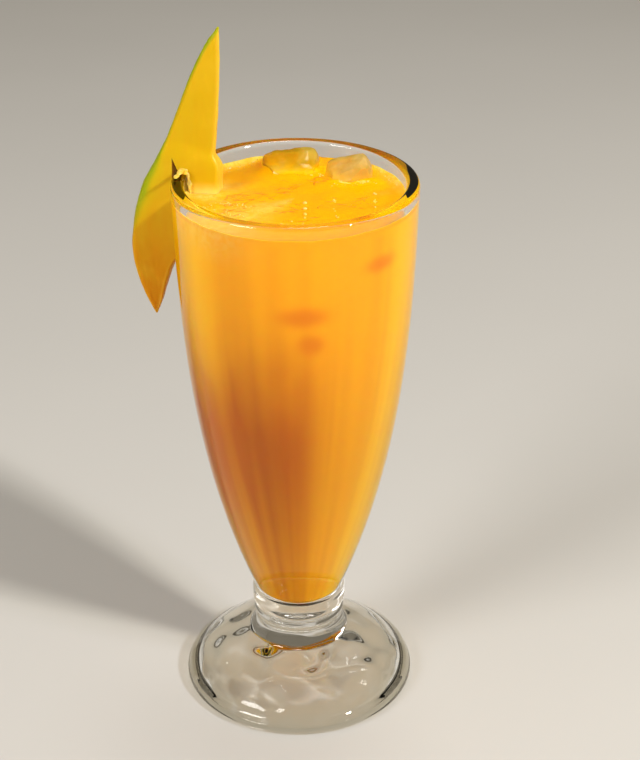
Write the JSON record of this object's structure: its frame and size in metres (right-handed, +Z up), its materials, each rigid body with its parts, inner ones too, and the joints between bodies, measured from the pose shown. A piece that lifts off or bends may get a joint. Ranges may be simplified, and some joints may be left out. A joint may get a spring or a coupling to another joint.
{
  "type": "mango juice in a glass",
  "caption": "Tall footed soda glass of iced mango juice, with blocks of ice at the top and a wedge of fresh mango slit over the rim.",
  "frame": {"origin": "middle of the footprint of the whole, at the height of the table the glass stands on; the glass's own axis stands 6.35 mm from it towards +X, as the mango wedge reaches out on the other side", "axes": "+Z up along the glass's axis; the picture looks along +Y from above, and the mango wedge hangs on the rim on the -X side"},
  "size_m": [0.0916, 0.079, 0.2314],
  "materials": {
    "glass": "clear pressed glass, smooth and shiny",
    "juice": "opaque yellow-orange juice with fine pulp, a wet shiny surface",
    "ice": "melting ice, clear at the edges and cloudy inside, wetted by the juice",
    "mango": "moist yellow flesh with a thin green to yellow skin"
  },
  "bodies": {
    "root": {"glass": "glass", "juice": "juice", "ice_back": "ice", "ice_right": "ice", "mango_slice": "mango"}
  },
  "joints": []
}
